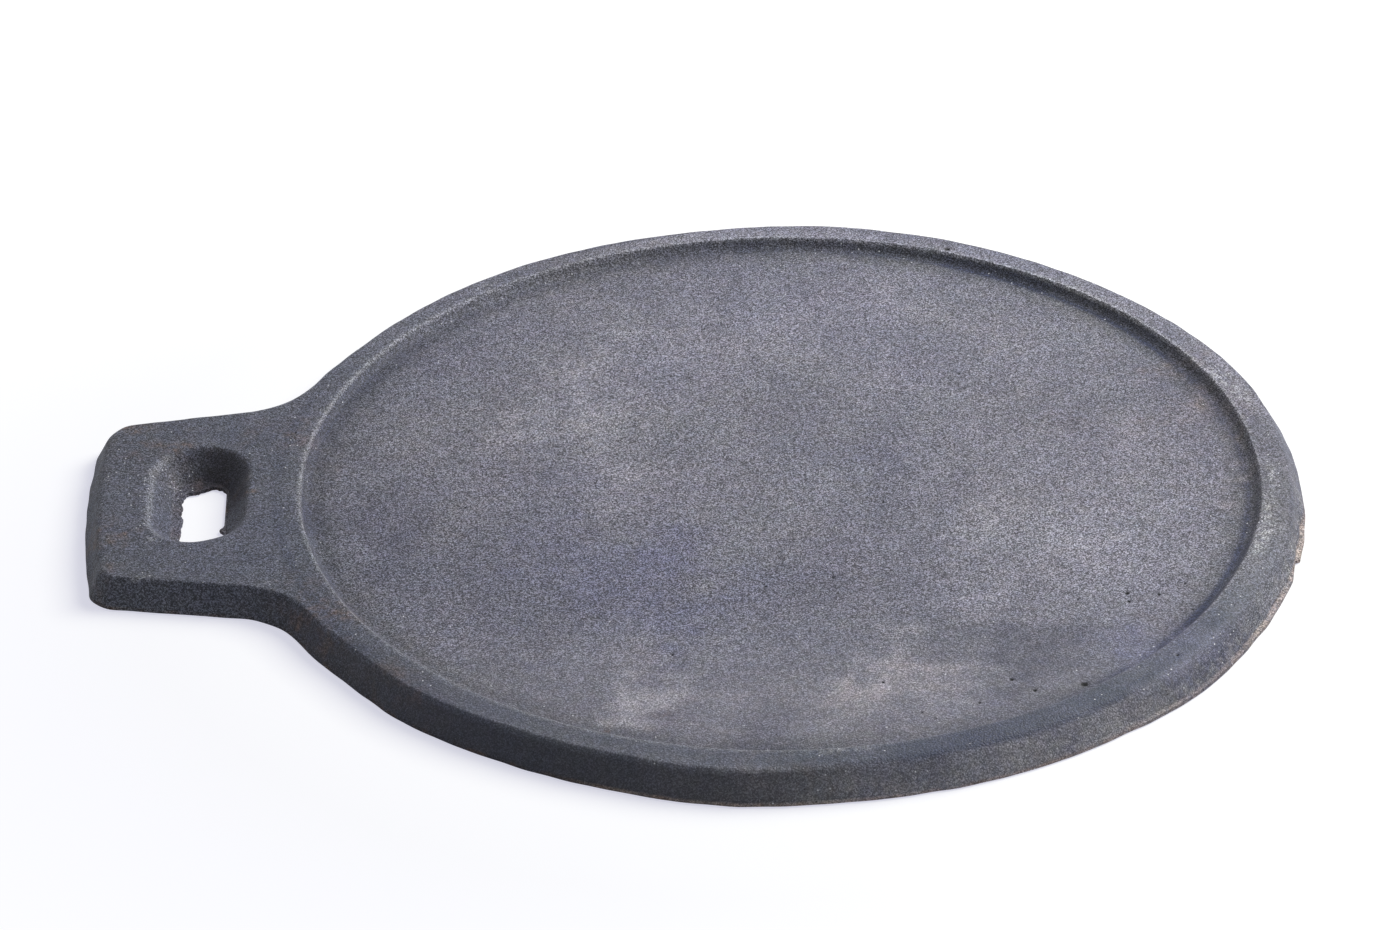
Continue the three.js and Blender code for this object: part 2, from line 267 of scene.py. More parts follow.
def nick_depth(plan):
    """How far the fin broke off: most at one end, where it snapped, and running out along the foot."""
    along = (NICK_AT - nearest_turn(np.angle(plan), NICK_AT)) * FOOT_RADIUS
    depth = NICK_DEPTH * (1 - along / NICK_LENGTH) - along ** 2 / (2 * FOOT_RADIUS)
    return np.maximum(depth, 0) * (along > 0)


def rounded_rectangle(half_width, half_length, corner, centre, step):
    """Points round it, anticlockwise, with the normal at each."""
    parts = []
    quarters = [1 + 1j, -1 + 1j, -1 - 1j, 1 - 1j]
    reach = complex(half_width - corner, half_length - corner)
    pivots = [complex(q.real * reach.real, q.imag * reach.imag) + centre for q in quarters]
    for i, pivot in enumerate(pivots):
        start = i * np.pi / 2
        normal = complex(unit(start + np.pi / 2))
        following = pivots[(i + 1) % len(pivots)]
        parts.append(arc(pivot, corner, start, start + np.pi / 2, step))
        parts.append(line(pivot + normal * corner, following + normal * corner, normal, step))
    return tuple(np.concatenate(part) for part in zip(*parts))


def inside(loop, plan):
    """Which plan points lie inside a closed loop."""
    result = np.zeros(len(plan), bool)
    for a, b in zip(loop, np.roll(loop, -1)):
        if a.imag == b.imag:
            continue
        level = (plan.imag > a.imag) != (plan.imag > b.imag)
        cross = a.real + (plan.imag - a.imag) * (b.real - a.real) / (b.imag - a.imag)
        result ^= level & (plan.real < cross)
    return result


def between_loops(loops, plan):
    """Which plan points lie inside the first closed loop and outside the others."""
    result = inside(loops[0], plan)
    for loop in loops[1:]:
        result &= ~inside(loop, plan)
    return result


class Skin:
    """The casting's corners and faces while they are made, one closed shell."""

    def __init__(self):
        self.corners = []
        self.faces = []

    def ring(self, plan, height):
        """Adds corners at plan points, and gives their numbers."""
        start = len(self.corners)
        heights = np.broadcast_to(height, len(plan))
        self.corners.extend(zip(plan.real, plan.imag, heights))
        return np.arange(start, start + len(plan))

    def plan(self, ring):
        return np.array([complex(*self.corners[i][:2]) for i in ring])

    def strip(self, outer, inner):
        """Joins two anticlockwise rings, the first of them outside or below the second."""
        for a, b, c, d in zip(outer, np.roll(outer, -1), np.roll(inner, -1), inner):
            self.faces.append((int(a), int(b), int(c), int(d)))

    def loft(self, rings):
        for outer, inner in zip(rings, rings[1:]):
            self.strip(outer, inner)

    def fill(self, outer, holes, step, height, seed, facing_up=True, pits=()):
        """Fills a level area with triangles, on scattered points that are finer round the pits."""
        loops = [self.plan(ring) for ring in (outer, *holes)]
        scatter = scattered(loops, step, seed, pits)
        edge = np.concatenate([outer, *holes])
        rows = np.concatenate([edge, self.ring(scatter, height)])
        plan = np.concatenate([*loops, scatter])
        ends = np.cumsum([0] + [len(loop) for loop in loops])
        borders = [
            (int(a), int(b))
            for start, end in zip(ends, ends[1:])
            for a, b in zip(range(start, end), np.roll(np.arange(start, end), -1))
        ]
        points = [(float(p.real), float(p.imag)) for p in plan]
        found, _, triangles, sources, *_ = delaunay_2d_cdt(points, borders, [], 0, 1e-7, True)
        triangles = np.array(triangles)
        found = np.array([complex(*p) for p in found])
        a, b, c = (found[triangles[:, k]] for k in range(3))
        middle = (a + b + c) / 3
        keep = between_loops(loops, middle)
        clockwise = ((b - a).conj() * (c - a)).imag < 0
        flip = clockwise == facing_up
        triangles[flip] = triangles[flip][:, ::-1]
        source = np.array([rows[ids[0]] for ids in sources])
        self.faces.extend(tuple(int(i) for i in source[t]) for t in triangles[keep])


def scattered(loops, step, seed, pits):
    """Points of a jittered triangular pattern inside the first loop and clear of the others."""
    rng = np.random.default_rng(seed)
    outer = loops[0]
    rows = np.arange(outer.imag.min(), outer.imag.max(), step * math.sqrt(3) / 2)
    columns = np.arange(outer.real.min(), outer.real.max(), step)
    plan = (columns[None, :] + 1j * rows[:, None] + (np.arange(len(rows)) % 2)[:, None] * step / 2).ravel()
    plan = plan + step * SCATTER_JITTER * (rng.normal(size=len(plan)) + 1j * rng.normal(size=len(plan)))
    plan = plan[inside(outer, plan)]
    for x, y, radius, _ in pits:
        plan = plan[abs(plan - complex(x, y)) > radius * 2 + step * 0.4]
    fine = [
        complex(x, y) + radius * share * unit(2 * np.pi * np.arange(count) / count)
        for x, y, radius, _ in pits
        for share, count in PIT_RINGS
    ]
    plan = np.concatenate([plan, *fine])
    plan = plan[between_loops(loops, plan)]
    edge = np.concatenate(loops)
    tree = KDTree(len(edge))
    for i, p in enumerate(edge):
        tree.insert((p.real, p.imag, 0), i)
    tree.balance()
    clear = [tree.find((p.real, p.imag, 0))[2] > step * SCATTER_MARGIN for p in plan]
    return plan[np.array(clear)]


# Gas pits: where, radius and depth. The first few are placed, and the rest are scattered
PLACED_PITS = [
    (76.6, -58.5, 0.6, 0.55), (76.5, -61.9, 0.5, 0.5), (83.9, -59.6, 0.5, 0.45), (61.3, -94.0, 0.85, 0.7),
    (45.3, -90.7, 0.6, 0.5), (49.9, -95.4, 0.55, 0.5), (-68.0, 50.0, 0.4, 0.35), (90.6, -66.5, 0.4, 0.35),
]
RIM_PITS = [
    (53.9, 105.9, 0.75, 0.8), (83.3, -88.0, 0.45, 0.4), (-118.5, 27.0, 0.4, 0.3), (-128.0, -31.5, 0.4, 0.3),
]
SCATTERED_PITS = 70
PIT_FIELD = 107
PIT_SPACING = 4
# A pit's reach in its own radii, how steeply it falls in, and the height below which there are none
PIT_REACH = 2
PIT_STEEPNESS = 1.4
PITTED_ABOVE = 2


def floor_pits():
    """The placed pits and the scattered ones, which are commoner towards the near right."""
    rng = np.random.default_rng(11)
    pits = list(PLACED_PITS)
    while len(pits) < len(PLACED_PITS) + SCATTERED_PITS:
        spot = rng.uniform(-PIT_FIELD - 1, PIT_FIELD + 1, 2)
        chance = 0.25 + 0.75 * np.clip((spot[0] - spot[1]) / 150, 0, 1)
        clear = all(math.hypot(x - spot[0], y - spot[1]) > PIT_SPACING for x, y, *_ in pits)
        if math.hypot(*spot) < PIT_FIELD and rng.random() < chance and clear:
            radius = rng.uniform(0.22, 0.5)
            pits.append((*spot, radius, radius * rng.uniform(0.6, 0.9)))
    return pits


def side_rings(skin):
    """The foot, the parting land with its fin, the sloping side and the rim's corner."""
    outline, normals = foot_outline()
    count = len(outline)
    hand = FOOT_WAVER * waver(count, (37, 53, 71, 90), seed=2)
    round_ = corner_round(outline)
    slope = side_slope(outline)
    nick = nick_depth(outline)
    fin = wander(FIN_LUMPS, outline) * (1 + FIN_WAVER * waver(count, (29, 47, 83), seed=14))
    sharp_inset = (RIM_HEIGHT - PARTING_LAND) * np.tan(slope)
    centre_inset = sharp_inset + round_ * np.tan((np.pi / 2 - slope) / 2)
    root = (np.maximum(fin + FIN_TAPER * np.tan(slope), nick), PARTING_LAND + FIN_TAPER)
    shoulder = (centre_inset - round_ * np.cos(slope), RIM_HEIGHT - round_ * (1 - np.sin(slope)))
    levels = [(np.maximum(nick, PARTING_DRAFT * share), PARTING_LAND * share) for share in (0, 0.5, 1)]
    for share in np.linspace(0, 1, SIDE_LEVELS)[:-1]:
        levels.append(tuple(a + (b - a) * share for a, b in zip(root, shoulder)))
    for share in np.linspace(0, 1, ROUND_LEVELS):
        tilt = slope + (np.pi / 2 - slope) * share
        levels.append((centre_inset - round_ * np.cos(tilt), RIM_HEIGHT - round_ * (1 - np.sin(tilt))))
    rings = [skin.ring(outline - normals * (inset + hand), height) for inset, height in levels]
    skin.loft(rings)
    return rings[0], rings[-1]


def recess_rings(skin):
    """From the rim's lip down the recess wall to the edge of the cooking floor."""
    wall = RECESS_WALL_ANGLE
    rise = RIM_HEIGHT - FLOOR_HEIGHT
    lip_reach = RECESS_LIP_ROUND * math.tan(wall / 2)
    floor_corner = RIM_INNER_RADIUS - rise / math.tan(wall)
    fillet_start = floor_corner - RECESS_FILLET * math.tan(wall / 2)
    lip = [
        (RIM_INNER_RADIUS + lip_reach - RECESS_LIP_ROUND * math.sin(tilt),
         RIM_HEIGHT - RECESS_LIP_ROUND * (1 - math.cos(tilt)))
        for tilt in np.linspace(0, wall, 4)
    ]
    fillet = [
        (fillet_start + RECESS_FILLET * math.sin(tilt), FLOOR_HEIGHT + RECESS_FILLET * (1 - math.cos(tilt)))
        for tilt in np.linspace(wall, 0, 6)
    ]
    face = [tuple(a + (b - a) * share for a, b in zip(lip[-1], fillet[0])) for share in (0.12, 0.5)]
    count = round(2 * np.pi * RIM_INNER_RADIUS / EDGE_STEP)
    ray = unit(2 * np.pi * np.arange(count) / count)
    hand = RECESS_WAVER * waver(count, (3, 5, 8, 13), seed=9)
    rings = [skin.ring((radius + hand) * ray, height) for radius, height in lip + face + fillet]
    skin.loft(rings)
    return rings[0], rings[-1]


def past_straights(plan):
    """How far plan points lie from the slot's centre, and past the ends of its mouth's straights."""
    away = plan - SLOT_CENTRE
    past_x = np.abs(away.real) - (SLOT_MOUTH["half_width"] - SLOT_MOUTH["corner"])
    past_y = np.abs(away.imag) - (SLOT_MOUTH["half_length"] - SLOT_MOUTH["corner"])
    return away, past_x, past_y


def keep_within(plan, inset):
    """Plan points drawn in where they pass the slot's mouth, less an inset."""
    away, past_x, past_y = past_straights(plan)
    outward = np.maximum(past_x, 0) * np.sign(away.real) + 1j * np.maximum(past_y, 0) * np.sign(away.imag)
    excess = np.maximum(abs(outward) - (SLOT_MOUTH["corner"] - inset), 0)
    return plan - outward / np.maximum(abs(outward), 1e-9) * excess


def slot_rings(skin):
    """The funnel's lip and wall, the ledge of flash, and the ragged hole through it."""
    turn = np.pi / 2 - SLOT_WALL_SLOPE
    lip_reach = SLOT_LIP_ROUND * math.tan(turn / 2)
    wall_inset = (RIM_HEIGHT - FLASH_THICKNESS) * math.tan(SLOT_WALL_SLOPE)
    section = [
        (SLOT_LIP_ROUND * math.sin(tilt) - lip_reach, RIM_HEIGHT - SLOT_LIP_ROUND * (1 - math.cos(tilt)))
        for tilt in np.linspace(0, turn, 6)
    ]
    lip_end = section[-1]
    bottom = (wall_inset, FLASH_THICKNESS)
    section += [tuple(a + (b - a) * s for a, b in zip(lip_end, bottom)) for s in np.linspace(0, 1, 7)[1:]]
    mouth, normals = rounded_rectangle(**SLOT_MOUTH, centre=SLOT_CENTRE, step=CORNER_STEP)
    hand = SLOT_WAVER * waver(len(mouth), (5, 8, 12), seed=21)
    rings = [skin.ring(mouth - normals * (inset + hand), height) for inset, height in section]
    skin.loft(rings)

    centre = SLOT_CENTRE + FLASH_HOLE_SHIFT
    hole, hole_normals = rounded_rectangle(**FLASH_HOLE, centre=centre, step=RAGGED_STEP)
    rough = FLASH_WAVER * waver(len(hole), (11, 17, 26, 37, 48), seed=33)
    torn = hole + hole_normals * (wander(FLASH_LUMPS, hole - centre) + rough)
    torn = keep_within(torn, wall_inset + FLASH_LEDGE)
    edge = [skin.ring(torn + hole_normals * back, FLASH_THICKNESS * share) for back, share in TORN_EDGE]
    skin.loft(edge)
    skin.fill(rings[-1], [edge[0]], FLASH_STEP, FLASH_THICKNESS, seed=5)
    return rings[0], edge[-1]


def casting_mesh():
    """The whole casting as one closed shell, before its sand skin."""
    skin = Skin()
    foot, rim_corner = side_rings(skin)
    lip, floor_edge = recess_rings(skin)
    mouth, hole_foot = slot_rings(skin)
    pits = floor_pits()
    skin.fill(rim_corner, [lip, mouth], LAND_STEP, RIM_HEIGHT, seed=6, pits=RIM_PITS)
    skin.fill(floor_edge, [], FLOOR_STEP, FLOOR_HEIGHT, seed=7, pits=pits)
    skin.fill(foot, [hole_foot], UNDERSIDE_STEP, 0.0, seed=8, facing_up=False)
    corners = crowned(np.array(skin.corners))
    mesh = bpy.data.meshes.new("tawa_skin")
    mesh.from_pydata((corners * MM).tolist(), [], skin.faces)
    mesh.validate()
    store(mesh, "pit", pit_share(corners, pits + RIM_PITS))
    for name, values in finish_and_painted_light_masks(corners).items():
        store(mesh, name, values)
    return mesh


def crowned(corners):
    """The rim's top falls a little towards its outer edge, and takes the side's height with it."""
    radius = np.hypot(corners[:, 0], corners[:, 1])
    out = np.clip(radius - RIM_CROWN_FROM, 0, RIM_CROWN_REACH + 2) / RIM_CROWN_REACH
    on_disc = smooth(corners[:, 0], -TAB_REACH_ROOT - 3, -TAB_REACH_ROOT + 12)
    above = np.clip(corners[:, 2] - PARTING_LAND, 0, None) / (RIM_HEIGHT - PARTING_LAND)
    lift = RIM_CROWN_LIFT * smooth(radius, RIM_INNER_RADIUS - 1.5, RIM_INNER_RADIUS)
    corners[:, 2] += (lift - RIM_CROWN * out ** 2) * on_disc * above
    return corners


def store(mesh, name, values):
    """Keeps one value for each corner, for the skin's tree or the iron's material to read."""
    mesh.attributes.new(name, "FLOAT", "POINT").data.foreach_set("value", np.asarray(values, np.float32))


def pit_share(corners, pits):
    """How deep in a pit each corner lies, in millimetres."""
    plan = corners[:, 0] + 1j * corners[:, 1]
    share = np.zeros(len(plan))
    for x, y, radius, depth in pits:
        away = abs(plan - complex(x, y)) / radius
        near = (away < PIT_REACH) & (corners[:, 2] > PITTED_ABOVE)
        share[near] = np.maximum(share[near], depth * np.exp(-away[near] ** 2 * PIT_STEEPNESS))
    return share


# Blotches in the seasoning: x, y, radius and strength, light above zero and dark below
BLOTCHES = [
    (-43, 58, 13, 1.2), (-48, 30, 16, 1.0), (-40, 6, 14, 0.9), (-60, 28, 14, 0.5), (-50, 82, 14, 0.45),
    (-8, 60, 16, 0.7), (22, 50, 12, 0.5), (12, 101, 16, 0.2), (-38, -90, 9, 2.4), (-36, -82, 10, 1.1),
    (-56, -76, 11, 0.2), (17, -86, 8, 2.3), (8, -98, 10, 1.2), (34, -97, 12, 1.0), (64, -33, 15, 0.8),
    (78, -44, 13, 0.4), (46, -52, 12, 0.7), (74, -64, 12, 0.4), (70, 70, 11, 0.1), (42, 88, 16, 0.4),
    (20, 5, 15, -1.0), (26, -18, 12, -0.7), (8, 28, 14, -0.5), (76, 22, 14, -0.9), (50, 50, 14, -0.6),
    (-58, -49, 21, -1.2), (-16, -50, 20, -0.9), (12, -50, 16, -0.6), (-95, -16, 18, -1.2),
    (-82, -44, 14, -0.4), (44, -82, 12, -1.3), (58, -77, 9, -0.9), (-8, -110, 9, -0.9),
    (-12, 82, 14, -0.3), (-38, -103, 9, -0.7), (-136, 24, 12, -0.7), (-165, -14, 5, -0.6),
    (-127, -4, 11, -0.7),
]
# Tints: x, y, radius and strength, warm above zero and blue below
TINTS = [
    (18, -90, 13, 1.3), (-32, -93, 14, 0.8), (100, 0, 55, 0.5), (0, -112, 20, 0.3), (-150, 30, 10, 0.5),
    (75, -78, 18, -0.5), (-50, -34, 26, -0.9), (-28, -56, 24, -1.1), (70, 62, 16, -0.3),
    (20, -121, 14, -0.9), (52, -108, 12, -1.2), (80, -89, 12, -1.5), (104, -52, 10, -0.6),
    (-143, 0, 14, -0.5), (107, 22, 11, 0.4), (98, 46, 10, 0.4), (110, -8, 9, 0.4),
]
# Brown stains, most of them rust: x, y, radius and strength
STAINS = [
    (-160, 26, 8, 1.5), (-166, -14, 5, 1.6), (-122, 23, 9, 1.0), (-131.3, -2, 4, 2.0), (-162, -29, 5, 0.7),
    (90.6, -67.3, 1.6, 1.2), (-38.1, -104.3, 1.8, 1.6), (108, 20, 9, 0.5), (100, 44, 8, 0.45),
    (-116, -56, 12, 0.9), (-98, -82, 12, 0.5), (-8, -127, 10, 0.4),
]
# Painted shade on the slot's wall, most of it on the far and right sides, in the same four
SLOT_PAINTED_SHADE = [(-136, 17, 9, 0.95), (-132, 4, 6, 0.8), (-142, 13, 4, 0.5), (-146, 2, 4, 0.25)]
# How much lighter or darker the iron is painted round the disc: angle, width in degrees, and tone
# Painted shade, with some grime, on the floor's edge at the right and the far side, and grime at the left
FLOOR_EDGE_SHADE_AND_GRIME = [(8, 38, -0.22), (95, 42, -0.10), (165, 28, -0.17)]
RIM_TONES = [
    (2, 22, -0.17), (52, 30, 0.09), (76, 9, 0.10), (96, 14, 0.20), (120, 12, -0.05), (138, 14, 0.13),
    (165, 9, -0.04), (210, 20, -0.05), (264, 9, 0.08), (288, 12, -0.28), (303, 10, -0.08), (328, 12, 0.09),
]
# Painted shade on the recess's far wall, and grime on its left and near walls
WALL_SHADE_AND_GRIME = [(94, 26, -0.14), (165, 30, -0.30), (205, 16, -0.12), (262, 30, -0.04)]
# Painted shadows in the corner at the wall's foot, at the far right and at the near right
CORNER_PAINTED_SHADOWS = [(40, 42, -0.26), (332, 24, -0.26), (311, 13, -0.20)]
CREST_TONES = [
    (-15, 20, -0.03), (17, 14, 0.20), (50, 30, -0.09), (76, 9, -0.06), (104, 11, -0.24), (120, 8, 0.06),
    (165, 12, -0.12), (202, 24, -0.14), (240, 14, 0.09), (304, 18, -0.34), (331, 9, -0.12),
]
# Painted fill light on the near and near-right side, painted shade at the near left, and darker at the near
# right
OUTSIDE_PAINTED_LIGHT_AND_SHADE = [
    (236, 14, -0.12), (266, 14, 0.45), (286, 14, 0.72), (303, 8, 0.24), (319, 10, -0.16), (348, 14, -0.12),
]
# Where the iron is less blue round the disc, or bluer where below zero
WALL_GREYS = [(40, 60, 0.06)]
RIM_GREYS = [(350, 22, 0.03), (75, 45, -0.07)]
# How bright the recess's lip is worn and given a painted highlight round the disc, more or less than on the
# left
LIP_TONES = [(38, 26, 1.0), (338, 30, -0.85), (300, 35, -0.40), (225, 20, -0.25)]
# Bright scuffs on the rim: angle in degrees, radius, then length and width
SCUFFS = [
    (13, 119.8, 9, 2.0), (17, 118.8, 6, 1.4), (126, 119.5, 4, 1.0), (272, 118.2, 7, 0.6),
    (339, 119, 8, 1.8), (346, 118.8, 6, 1.2), (353, 119.8, 4, 1.0), (187.3, 152.5, 1.6, 1.4),
    (198.1, 130.5, 0.8, 1.6), (192.9, 156.3, 0.6, 5.0),
]
# Where glints of light are painted on bare crests of sand: x, y, radius and how thickly
GLINTS = [
    (112.7, -35.5, 4, 1.2), (119, -12, 9, 0.15), (106.7, -54.9, 3, 0.5), (-147.3, 12.2, 4.5, 2.4),
    (-159, 3, 6, 1.0), (-156, -11, 5, 0.6), (-161, 18, 6, 0.6), (-128.3, -28.7, 3, 0.5), (-122, 22, 7, 0.5),
    (-35, -86, 10, 0.25), (18, -90, 9, 0.25), (20, 106, 26, 0.2), (-117.5, -31.4, 1.5, 0.5),
]

# Rings of the disc: the radii where one starts, is whole, starts to go and is gone
WALL_FOOT_RING = (107.5, 113.5, 113.5, 116)
GREYED_WALL_RING = (106, 113, 116.2, 117)
RIM_TOP_RING = (116.6, 117.6, 122, 124.5)
TONED_RINGS = [
    (FLOOR_EDGE_SHADE_AND_GRIME, (86, 114, 113.5, 115.5)),
    (CORNER_PAINTED_SHADOWS, (112.4, 114, 116.3, 116.8)),
    (WALL_SHADE_AND_GRIME, (113.8, 115, 116.4, 116.9)),
    (CREST_TONES, (120.5, 122, 123, 124.5)),
]
# Where the finish changes on the way out from the middle: the radii between which it does
FLOOR_TO_WALL = (113.5, 116.5)
WALL_TO_RIM = (116.6, 117)
RIM_TO_OUTSIDE = (121.5, 123.5)
CREST_TO_SIDE = (122.5, 124.5)
SIDE_TO_BEVEL = (124, 126.5)
# Stretches round the disc, in degrees: where one starts and how softly, and where it ends and how softly
NEAR_RIGHT = (276, 14, 350, 12)
RIM_AT_RIGHT = (320, 20, 380, 10)
DARKER_BLUER_NEAR_LEFT = (150, 40, 275, 18)
DARKER_BLUER_NEAR_RIGHT = (268, 20, 322, 16)
SHADED_NEAR_LEFT = (208, 12, 258, 22)
GROUND_AT_FOOT = (250, 8, 300, 8)
# How strongly each finish, painted shade and painted highlight takes
# Painted shade, with some grime, at the foot of the recess's wall
WALL_FOOT_SHADE = 0.155
FLOOR_DRYNESS = 0.12
NEAR_RIGHT_DARKENING = 1.6
SIDE_PAINTED_SHADE = 0.6
LIP_WEAR_AND_HIGHLIGHT = 0.8
MOUTH_PAINTED_HIGHLIGHT = 0.6
FOOT_GROUND = 0.9
NEAR_FLOOR_WORN = 0.45
WALL_GREYED = 0.07
RIM_GREYED = 0.04


def soft_spots(plan, spots):
    """How strongly round soft spots fall on plan points, all together."""
    total = np.zeros(len(plan))
    for x, y, radius, strength in spots:
        total += strength * np.exp(-(abs(plan - complex(x, y)) / radius) ** 2)
    return total


def ragged(plan, seed):
    """Plan points shifted about by small waves, so that what is drawn on them gets an uneven edge."""
    rng = np.random.default_rng(seed)
    moved = plan.copy()
    for size, reach in ((34, 3.2), (17, 2.2), (9, 1.4), (5, 0.8)):
        for _ in range(5):
            wave = 2 * np.pi / size * rng.uniform(0.8, 1.25) * unit(rng.uniform(0, 2 * np.pi))
            phase = rng.uniform(0, 2 * np.pi)
            moved += reach * unit(rng.uniform(0, 2 * np.pi)) * np.sin((plan * wave.conjugate()).real + phase)
    return moved


def on_ring(radius, starts, whole, goes, gone):
    """One on a ring of the disc, fading at both its edges."""
    return smooth(radius, starts, whole) * (1 - smooth(radius, goes, gone))


def tone_with_painted_shading(plan):
    """How much lighter or darker the iron is painted, ring by ring from the floor's edge to the side, with
    painted shade at the recess's foot and painted light and shade on the outside.
    """
    radius = abs(plan)
    tone = FLOOR_DRYNESS * (1 - smooth(radius, *FLOOR_TO_WALL))
    tone -= WALL_FOOT_SHADE * on_ring(radius, *WALL_FOOT_RING)
    for tones, ring in TONED_RINGS:
        tone += wander(tones, plan) * on_ring(radius, *ring)
    tone += wander(RIM_TONES, plan) * smooth(radius, *WALL_TO_RIM)
    return tone + wander(OUTSIDE_PAINTED_LIGHT_AND_SHADE, plan) * smooth(radius, *CREST_TO_SIDE)


def scuffed(plan):
    """Where the rim and the tab are scuffed bright."""
    total = np.zeros(len(plan))
    for at, where, length, width in SCUFFS:
        turned = plan / unit(math.radians(at))
        total += np.exp(-((turned.real - where) / width) ** 2 - (turned.imag / length) ** 2)
    return total


def finish_and_painted_light_masks(corners):
    """Where the finish, the painted shade and the painted light change, one value for each corner."""
    plan = corners[:, 0] + 1j * corners[:, 1]
    uneven = ragged(plan, seed=12)
    height = corners[:, 2]
    radius = abs(plan)
    angle = np.degrees(np.angle(plan)) % 360
    round_the = lambda stretch: angle_band(angle, *stretch)

    raised = height > FLOOR_HEIGHT + 1.6
    rim = smooth(radius, *WALL_TO_RIM)
    outside = smooth(radius, *RIM_TO_OUTSIDE) * (height < RIM_HEIGHT - 0.8)
    foot = radius > 100
    in_slot = (mouth_distance(plan) < 0.3) & (height < RIM_HEIGHT - 0.1) & (plan.real < -TAB_REACH_ROOT)
    # The recess's lip, worn and given a painted highlight, and the slot's left lip, given a painted highlight
    lip = np.exp(-((radius - RIM_INNER_RADIUS) / 0.4) ** 2) * raised
    mouth = np.exp(-((mouth_distance(plan) + 0.6) / 1.2) ** 2) * raised * smooth(-plan.real, 147, 152)
    fin = np.clip(wander(FIN_LUMPS, plan) * 1.3, 0, 1) * smooth(-height, -1.5, -1.0) * (radius > 118)
    ground = foot * smooth(-height, -1.0, -0.5) * round_the(GROUND_AT_FOOT)
    scuffs = scuffed(plan) * raised
    # Painted glints everywhere but the outside, thicker on the right rim, on the near-right side and on the
    # scuffs
    glints = 0.04 * (1 - outside) + 0.12 * rim * round_the(RIM_AT_RIGHT)
    glints += 0.20 * round_the(NEAR_RIGHT) * outside + 0.5 * scuffs
    return {
        "tone": tone_with_painted_shading(plan),
        "blotch": soft_spots(uneven, BLOTCHES),
        "tint": soft_spots(uneven, TINTS),
        "cooking": 1 - smooth(radius, *FLOOR_TO_WALL),
        # Darker and bluer iron on the near left, its outside and the tab included, and along the near-right
        # rim top
        "darker_bluer": np.maximum(
            rim * round_the(DARKER_BLUER_NEAR_LEFT) * (height > 1),
            on_ring(radius, *RIM_TOP_RING) * round_the(DARKER_BLUER_NEAR_RIGHT) * NEAR_RIGHT_DARKENING,
        ),
        # Painted shade on the near-left side and in the slot
        "painted_shade": SIDE_PAINTED_SHADE * outside * round_the(SHADED_NEAR_LEFT) + in_slot * soft_spots(plan, SLOT_PAINTED_SHADE),
        "rubbed": np.clip(scuffs, 0, 1),
        "lip": lip * (LIP_WEAR_AND_HIGHLIGHT + wander(LIP_TONES, plan)) + MOUTH_PAINTED_HIGHLIGHT * mouth,
        "painted_glints": np.clip(glints + soft_spots(plan, GLINTS), 0, 2.2),
        # The near-right bevel, lighter partly from wear and partly from painted fill light
        "bevel": smooth(radius, *SIDE_TO_BEVEL) * round_the(NEAR_RIGHT) * (height > 0.9),
        "bare": fin + FOOT_GROUND * ground,
        "rusty": foot * smooth(-height, -1.2, -0.4) + soft_spots(uneven, STAINS),
        "worn": smooth(-plan.imag, 45, 100) * NEAR_FLOOR_WORN,
        "greyed": (
            on_ring(radius, *GREYED_WALL_RING) * (WALL_GREYED + wander(WALL_GREYS, plan))
            + rim * (RIM_GREYED + wander(RIM_GREYS, plan))
        ),
    }


def mouth_distance(plan):
    """How far plan points lie outside the slot's mouth, below zero inside it."""
    _, past_x, past_y = past_straights(plan)
    beyond = np.hypot(np.maximum(past_x, 0), np.maximum(past_y, 0))
    return beyond + np.minimum(np.maximum(past_x, past_y), 0) - SLOT_MOUTH["corner"]


def smooth(value, low, high):
    """A smooth step from nought at low to one at high."""
    share = np.clip((value - low) / (high - low), 0, 1)
    return share * share * (3 - 2 * share)


def angle_band(angle, start, start_soft, end, end_soft):
    """One between two angles in degrees, fading over soft degrees beyond each."""
    middle = (start + end) / 2
    turned = (angle - middle + 180) % 360 - 180 + middle
    return smooth(turned, start - start_soft, start) * (1 - smooth(turned, end, end + end_soft))


def give(tree, socket, value):
    """Links a socket to another, or sets it to a plain value."""
    if isinstance(value, bpy.types.NodeSocket):
        tree.links.new(value, socket)
    else:
        socket.default_value = value


def add_node(tree, kind, settings=None, **inputs):
    """A node with its settings, and with its inputs by name, spaces written as underscores."""
    node = tree.nodes.new(kind)
    for name, value in (settings or {}).items():
        setattr(node, name, value)
    for name, value in inputs.items():
        give(tree, node.inputs[name.replace("_", " ")], value)
    return node


def arithmetic(tree, kind, operation, *values):
    """A Math or Vector Math node whose inputs are numbers or sockets, in their order."""
    node = tree.nodes.new(kind)
    node.operation = operation
    for socket, value in zip(node.inputs, values):
        give(tree, socket, value)
    return node.outputs["Value" if kind == "ShaderNodeMath" else "Vector"]


def maths(tree, operation, *values):
    return arithmetic(tree, "ShaderNodeMath", operation, *values)


def blend_colours(tree, share, under, over):
    node = add_node(tree, "ShaderNodeMix", {"data_type": "RGBA"})
    for socket, value in zip((node.inputs["Factor"], *node.inputs[6:8]), (share, under, over)):
        give(tree, socket, value)
    return node.outputs[2]


def new_material(name):
    """A material, its tree and its shader."""
    material = bpy.data.materials.new(name)
    material.use_nodes = True
    return material, material.node_tree, material.node_tree.nodes["Principled BSDF"]


def add_object(name, data):
    """A new object in the scene."""
    added = bpy.data.objects.new(name, data)
    bpy.context.scene.collection.objects.link(added)
    return added


# The cast skin: heights and sizes in metres, a factor on the pits' depth, and its patterns' seed
CAST_SKIN = {
    "Swell height": 0.00030, "Swell size": 0.030, "Sand height": 0.00009, "Sand size": 0.0026,
    "Pit depth": 1.0, "Seed": 3.0,
}


